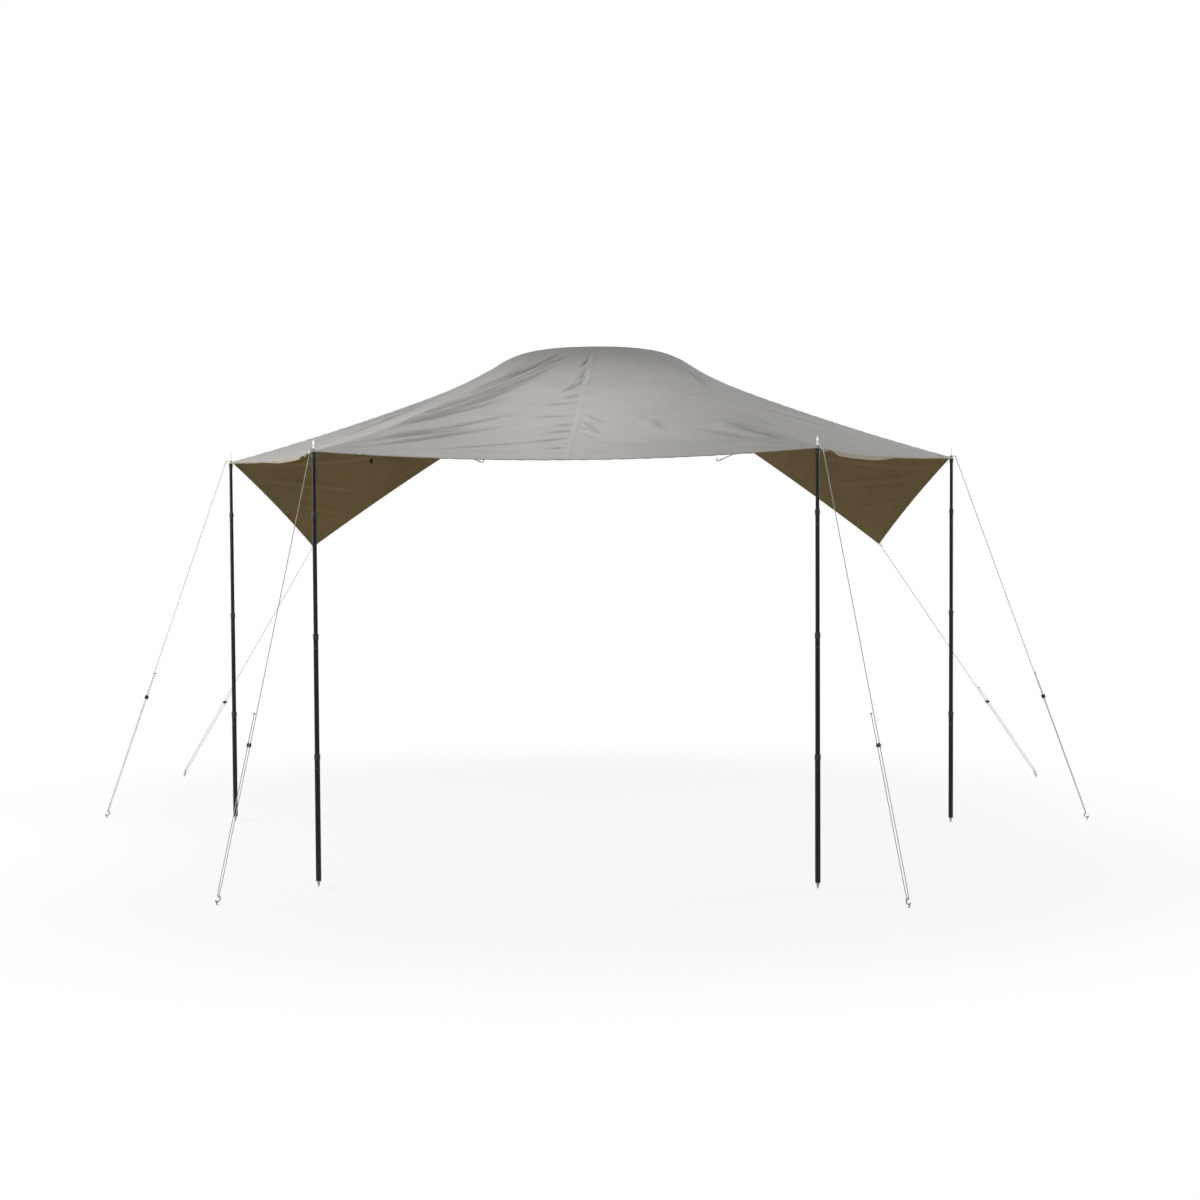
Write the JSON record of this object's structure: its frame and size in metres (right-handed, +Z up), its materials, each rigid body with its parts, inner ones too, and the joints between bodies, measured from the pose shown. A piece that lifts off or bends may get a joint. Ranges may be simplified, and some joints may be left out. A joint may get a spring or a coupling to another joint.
{
  "type": "vehicle side awning",
  "caption": "Stretched-cloth side awning with an arched beaded rear edge, hanging side wings, telescopic push-button poles, pins through its eyelets, guylines, runners and hook pegs",
  "frame": {"origin": "On the ground, under the middle of the awning without its guylines and pegs.", "axes": "+Z is up. -Y faces the open front, +Y the arched rear edge, and +X is to the right seen from the front."},
  "size_m": [5.5811, 4.3168, 2.75],
  "materials": {
    "canopy_cloth": "coated ripstop, grey above and olive brown below",
    "edge_bead": "smooth extruded bead",
    "pole_tube": "black satin anodised",
    "button_steel": "dark, worn on top",
    "pin_steel": "bright pin over a black plug",
    "spike_steel": "turned",
    "line_cord": "braided, off-white",
    "runner_plastic": "black",
    "peg_steel": "plain wire",
    "tie_cord": "dark braided"
  },
  "bodies": {
    "awning": {"roof_panel": "canopy_cloth", "rear_edge_bead": "edge_bead", "wing_left": "canopy_cloth", "wing_right": "canopy_cloth", "rear_tie_left": "tie_cord", "rear_tie_right": "tie_cord", "front_left_pole_top": "pole_tube", "front_left_pin": "pin_steel", "front_right_pole_top": "pole_tube", "front_right_pin": "pin_steel", "rear_left_pole_top": "pole_tube", "rear_left_pin": "pin_steel", "rear_right_pole_top": "pole_tube", "rear_right_pin": "pin_steel", "front_left_guyline": "line_cord", "front_left_peg": "peg_steel", "front_right_guyline": "line_cord", "front_right_peg": "peg_steel", "rear_left_guyline": "line_cord", "rear_left_peg": "peg_steel", "rear_right_guyline": "line_cord", "rear_right_peg": "peg_steel", "wing_left_guyline": "line_cord", "wing_left_peg": "peg_steel", "wing_right_guyline": "line_cord", "wing_right_peg": "peg_steel"},
    "front_left_upper_tube": {"front_left_pole_upper": "pole_tube"},
    "front_left_lower_tube": {"front_left_pole_lower": "pole_tube"},
    "front_left_base_tube": {"front_left_pole_base": "pole_tube", "front_left_foot_spike": "spike_steel"},
    "front_left_base_push_button": {"front_left_button_base": "button_steel"},
    "front_left_lower_push_button": {"front_left_button_lower": "button_steel"},
    "front_left_upper_push_button": {"front_left_button_upper": "button_steel"},
    "front_right_upper_tube": {"front_right_pole_upper": "pole_tube"},
    "front_right_lower_tube": {"front_right_pole_lower": "pole_tube"},
    "front_right_base_tube": {"front_right_pole_base": "pole_tube", "front_right_foot_spike": "spike_steel"},
    "front_right_base_push_button": {"front_right_button_base": "button_steel"},
    "front_right_lower_push_button": {"front_right_button_lower": "button_steel"},
    "front_right_upper_push_button": {"front_right_button_upper": "button_steel"},
    "rear_left_upper_tube": {"rear_left_pole_upper": "pole_tube"},
    "rear_left_lower_tube": {"rear_left_pole_lower": "pole_tube"},
    "rear_left_base_tube": {"rear_left_pole_base": "pole_tube", "rear_left_foot_spike": "spike_steel"},
    "rear_left_base_push_button": {"rear_left_button_base": "button_steel"},
    "rear_left_lower_push_button": {"rear_left_button_lower": "button_steel"},
    "rear_left_upper_push_button": {"rear_left_button_upper": "button_steel"},
    "rear_right_upper_tube": {"rear_right_pole_upper": "pole_tube"},
    "rear_right_lower_tube": {"rear_right_pole_lower": "pole_tube"},
    "rear_right_base_tube": {"rear_right_pole_base": "pole_tube", "rear_right_foot_spike": "spike_steel"},
    "rear_right_base_push_button": {"rear_right_button_base": "button_steel"},
    "rear_right_lower_push_button": {"rear_right_button_lower": "button_steel"},
    "rear_right_upper_push_button": {"rear_right_button_upper": "button_steel"},
    "front_left_line_runner": {"front_left_runner": "runner_plastic"},
    "front_right_line_runner": {"front_right_runner": "runner_plastic"},
    "rear_left_line_runner": {"rear_left_runner": "runner_plastic"},
    "rear_right_line_runner": {"rear_right_runner": "runner_plastic"},
    "wing_left_line_runner": {"wing_left_runner": "runner_plastic"},
    "wing_right_line_runner": {"wing_right_runner": "runner_plastic"}
  },
  "joints": [
    {"name": "front_left_upper_slide", "type": "slide", "parent": "awning", "child": "front_left_upper_tube", "axis": [0, 0, 1], "range_m": [0, 0.2483]},
    {"name": "front_left_lower_slide", "type": "slide", "parent": "front_left_upper_tube", "child": "front_left_lower_tube", "axis": [0, 0, 1], "range_m": [0, 0.4864]},
    {"name": "front_left_base_slide", "type": "slide", "parent": "front_left_lower_tube", "child": "front_left_base_tube", "axis": [0, 0, 1], "range_m": [0, 0.4811]},
    {"name": "front_left_base_button_press", "type": "slide", "parent": "front_left_base_tube", "child": "front_left_base_push_button", "axis": [0, 1, 0], "range_m": [0, 0.0014], "stiffness_N_per_m": 2000, "springref_m": -0.001},
    {"name": "front_left_lower_button_press", "type": "slide", "parent": "front_left_lower_tube", "child": "front_left_lower_push_button", "axis": [0, 1, 0], "range_m": [0, 0.0014], "stiffness_N_per_m": 2000, "springref_m": -0.001},
    {"name": "front_left_upper_button_press", "type": "slide", "parent": "front_left_upper_tube", "child": "front_left_upper_push_button", "axis": [0, 1, 0], "range_m": [0, 0.0014], "stiffness_N_per_m": 2000, "springref_m": -0.001},
    {"name": "front_right_upper_slide", "type": "slide", "parent": "awning", "child": "front_right_upper_tube", "axis": [0, 0, 1], "range_m": [0, 0.2483]},
    {"name": "front_right_lower_slide", "type": "slide", "parent": "front_right_upper_tube", "child": "front_right_lower_tube", "axis": [0, 0, 1], "range_m": [0, 0.4864]},
    {"name": "front_right_base_slide", "type": "slide", "parent": "front_right_lower_tube", "child": "front_right_base_tube", "axis": [0, 0, 1], "range_m": [0, 0.4811]},
    {"name": "front_right_base_button_press", "type": "slide", "parent": "front_right_base_tube", "child": "front_right_base_push_button", "axis": [0, 1, 0], "range_m": [0, 0.0014], "stiffness_N_per_m": 2000, "springref_m": -0.001},
    {"name": "front_right_lower_button_press", "type": "slide", "parent": "front_right_lower_tube", "child": "front_right_lower_push_button", "axis": [0, 1, 0], "range_m": [0, 0.0014], "stiffness_N_per_m": 2000, "springref_m": -0.001},
    {"name": "front_right_upper_button_press", "type": "slide", "parent": "front_right_upper_tube", "child": "front_right_upper_push_button", "axis": [0, 1, 0], "range_m": [0, 0.0014], "stiffness_N_per_m": 2000, "springref_m": -0.001},
    {"name": "rear_left_upper_slide", "type": "slide", "parent": "awning", "child": "rear_left_upper_tube", "axis": [0, 0, 1], "range_m": [0, 0.2483]},
    {"name": "rear_left_lower_slide", "type": "slide", "parent": "rear_left_upper_tube", "child": "rear_left_lower_tube", "axis": [0, 0, 1], "range_m": [0, 0.4864]},
    {"name": "rear_left_base_slide", "type": "slide", "parent": "rear_left_lower_tube", "child": "rear_left_base_tube", "axis": [0, 0, 1], "range_m": [0, 0.4811]},
    {"name": "rear_left_base_button_press", "type": "slide", "parent": "rear_left_base_tube", "child": "rear_left_base_push_button", "axis": [0, 1, 0], "range_m": [0, 0.0014], "stiffness_N_per_m": 2000, "springref_m": -0.001},
    {"name": "rear_left_lower_button_press", "type": "slide", "parent": "rear_left_lower_tube", "child": "rear_left_lower_push_button", "axis": [0, 1, 0], "range_m": [0, 0.0014], "stiffness_N_per_m": 2000, "springref_m": -0.001},
    {"name": "rear_left_upper_button_press", "type": "slide", "parent": "rear_left_upper_tube", "child": "rear_left_upper_push_button", "axis": [0, 1, 0], "range_m": [0, 0.0014], "stiffness_N_per_m": 2000, "springref_m": -0.001},
    {"name": "rear_right_upper_slide", "type": "slide", "parent": "awning", "child": "rear_right_upper_tube", "axis": [0, 0, 1], "range_m": [0, 0.2483]},
    {"name": "rear_right_lower_slide", "type": "slide", "parent": "rear_right_upper_tube", "child": "rear_right_lower_tube", "axis": [0, 0, 1], "range_m": [0, 0.4864]},
    {"name": "rear_right_base_slide", "type": "slide", "parent": "rear_right_lower_tube", "child": "rear_right_base_tube", "axis": [0, 0, 1], "range_m": [0, 0.4811]},
    {"name": "rear_right_base_button_press", "type": "slide", "parent": "rear_right_base_tube", "child": "rear_right_base_push_button", "axis": [0, 1, 0], "range_m": [0, 0.0014], "stiffness_N_per_m": 2000, "springref_m": -0.001},
    {"name": "rear_right_lower_button_press", "type": "slide", "parent": "rear_right_lower_tube", "child": "rear_right_lower_push_button", "axis": [0, 1, 0], "range_m": [0, 0.0014], "stiffness_N_per_m": 2000, "springref_m": -0.001},
    {"name": "rear_right_upper_button_press", "type": "slide", "parent": "rear_right_upper_tube", "child": "rear_right_upper_push_button", "axis": [0, 1, 0], "range_m": [0, 0.0014], "stiffness_N_per_m": 2000, "springref_m": -0.001},
    {"name": "front_left_runner_slide", "type": "slide", "parent": "awning", "child": "front_left_line_runner", "axis": [0.1695, 0.2037, 0.9642], "range_m": [-0.3, 0.12]},
    {"name": "front_right_runner_slide", "type": "slide", "parent": "awning", "child": "front_right_line_runner", "axis": [-0.1695, 0.2037, 0.9642], "range_m": [-0.3, 0.12]},
    {"name": "rear_left_runner_slide", "type": "slide", "parent": "awning", "child": "rear_left_line_runner", "axis": [0.3474, -0.0482, 0.9365], "range_m": [-0.3, 0.12]},
    {"name": "rear_right_runner_slide", "type": "slide", "parent": "awning", "child": "rear_right_line_runner", "axis": [-0.3474, -0.0482, 0.9365], "range_m": [-0.3, 0.12]},
    {"name": "wing_left_runner_slide", "type": "slide", "parent": "awning", "child": "wing_left_line_runner", "axis": [0.4963, -0.5578, 0.6652], "range_m": [-0.3, 0.12]},
    {"name": "wing_right_runner_slide", "type": "slide", "parent": "awning", "child": "wing_right_line_runner", "axis": [-0.491, -0.5624, 0.6652], "range_m": [-0.3, 0.12]}
  ]
}
